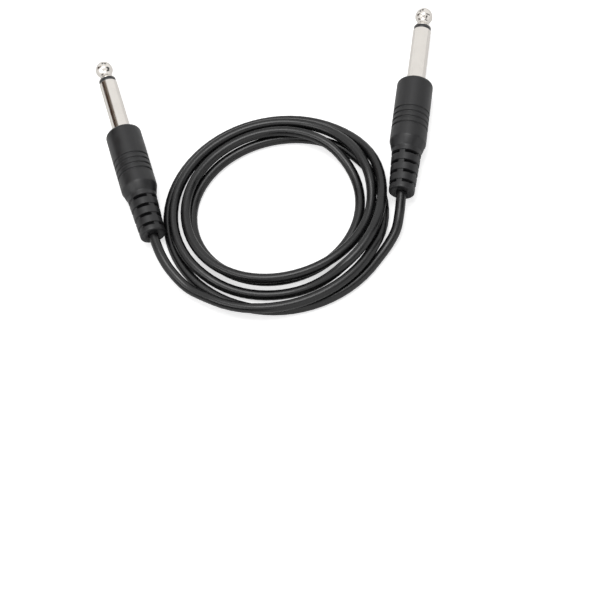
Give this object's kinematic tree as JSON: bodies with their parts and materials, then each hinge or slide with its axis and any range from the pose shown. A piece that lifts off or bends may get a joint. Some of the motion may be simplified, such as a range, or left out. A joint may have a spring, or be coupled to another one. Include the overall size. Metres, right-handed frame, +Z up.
{
  "type": "instrument cable",
  "caption": "Short coiled instrument cable with a straight moulded phone plug at each end, each with a grooved handle and a slotted strain relief.",
  "frame": {"origin": "on the surface the cable lies on, below the middle of the two plugs' bounding box", "axes": "+Z up; +X from the left plug to the right plug; +Y the way both plugs' tips point, roughly"},
  "size_m": [0.1223, 0.116, 0.013],
  "materials": {
    "moulding_black": "satin black moulded PVC",
    "jacket_black": "satin black flexible PVC jacket",
    "nickel_plate": "bright nickel plate",
    "insulator_black": "dark grey moulded insulator",
    "lug_brass": "stamped brass, tinned",
    "fibre_brown": "vulcanised fibre",
    "inner_moulding": "natural polyethylene",
    "copper_wire": "bare copper strands",
    "core_white": "white polyethylene insulation",
    "solder": "soft solder"
  },
  "bodies": {
    "root": {"handle_a": "moulding_black", "tip_contact_a": "nickel_plate", "insulating_ring_a": "insulator_black", "sleeve_a": "nickel_plate", "earth_lug_a": "lug_brass", "fibre_washer_a": "fibre_brown", "tip_lug_a": "lug_brass", "inner_mould_a": "inner_moulding", "jacket_end_a": "jacket_black", "braid_a": "copper_wire", "core_insulation_a": "core_white", "conductor_a": "copper_wire", "tip_solder_a": "solder", "earth_solder_a": "solder", "handle_b": "moulding_black", "tip_contact_b": "nickel_plate", "insulating_ring_b": "insulator_black", "sleeve_b": "nickel_plate", "earth_lug_b": "lug_brass", "fibre_washer_b": "fibre_brown", "tip_lug_b": "lug_brass", "inner_mould_b": "inner_moulding", "jacket_end_b": "jacket_black", "braid_b": "copper_wire", "core_insulation_b": "core_white", "conductor_b": "copper_wire", "tip_solder_b": "solder", "earth_solder_b": "solder", "cable_lead_a": "jacket_black", "cable_coil": "jacket_black", "cable_lead_b": "jacket_black"}
  },
  "joints": []
}
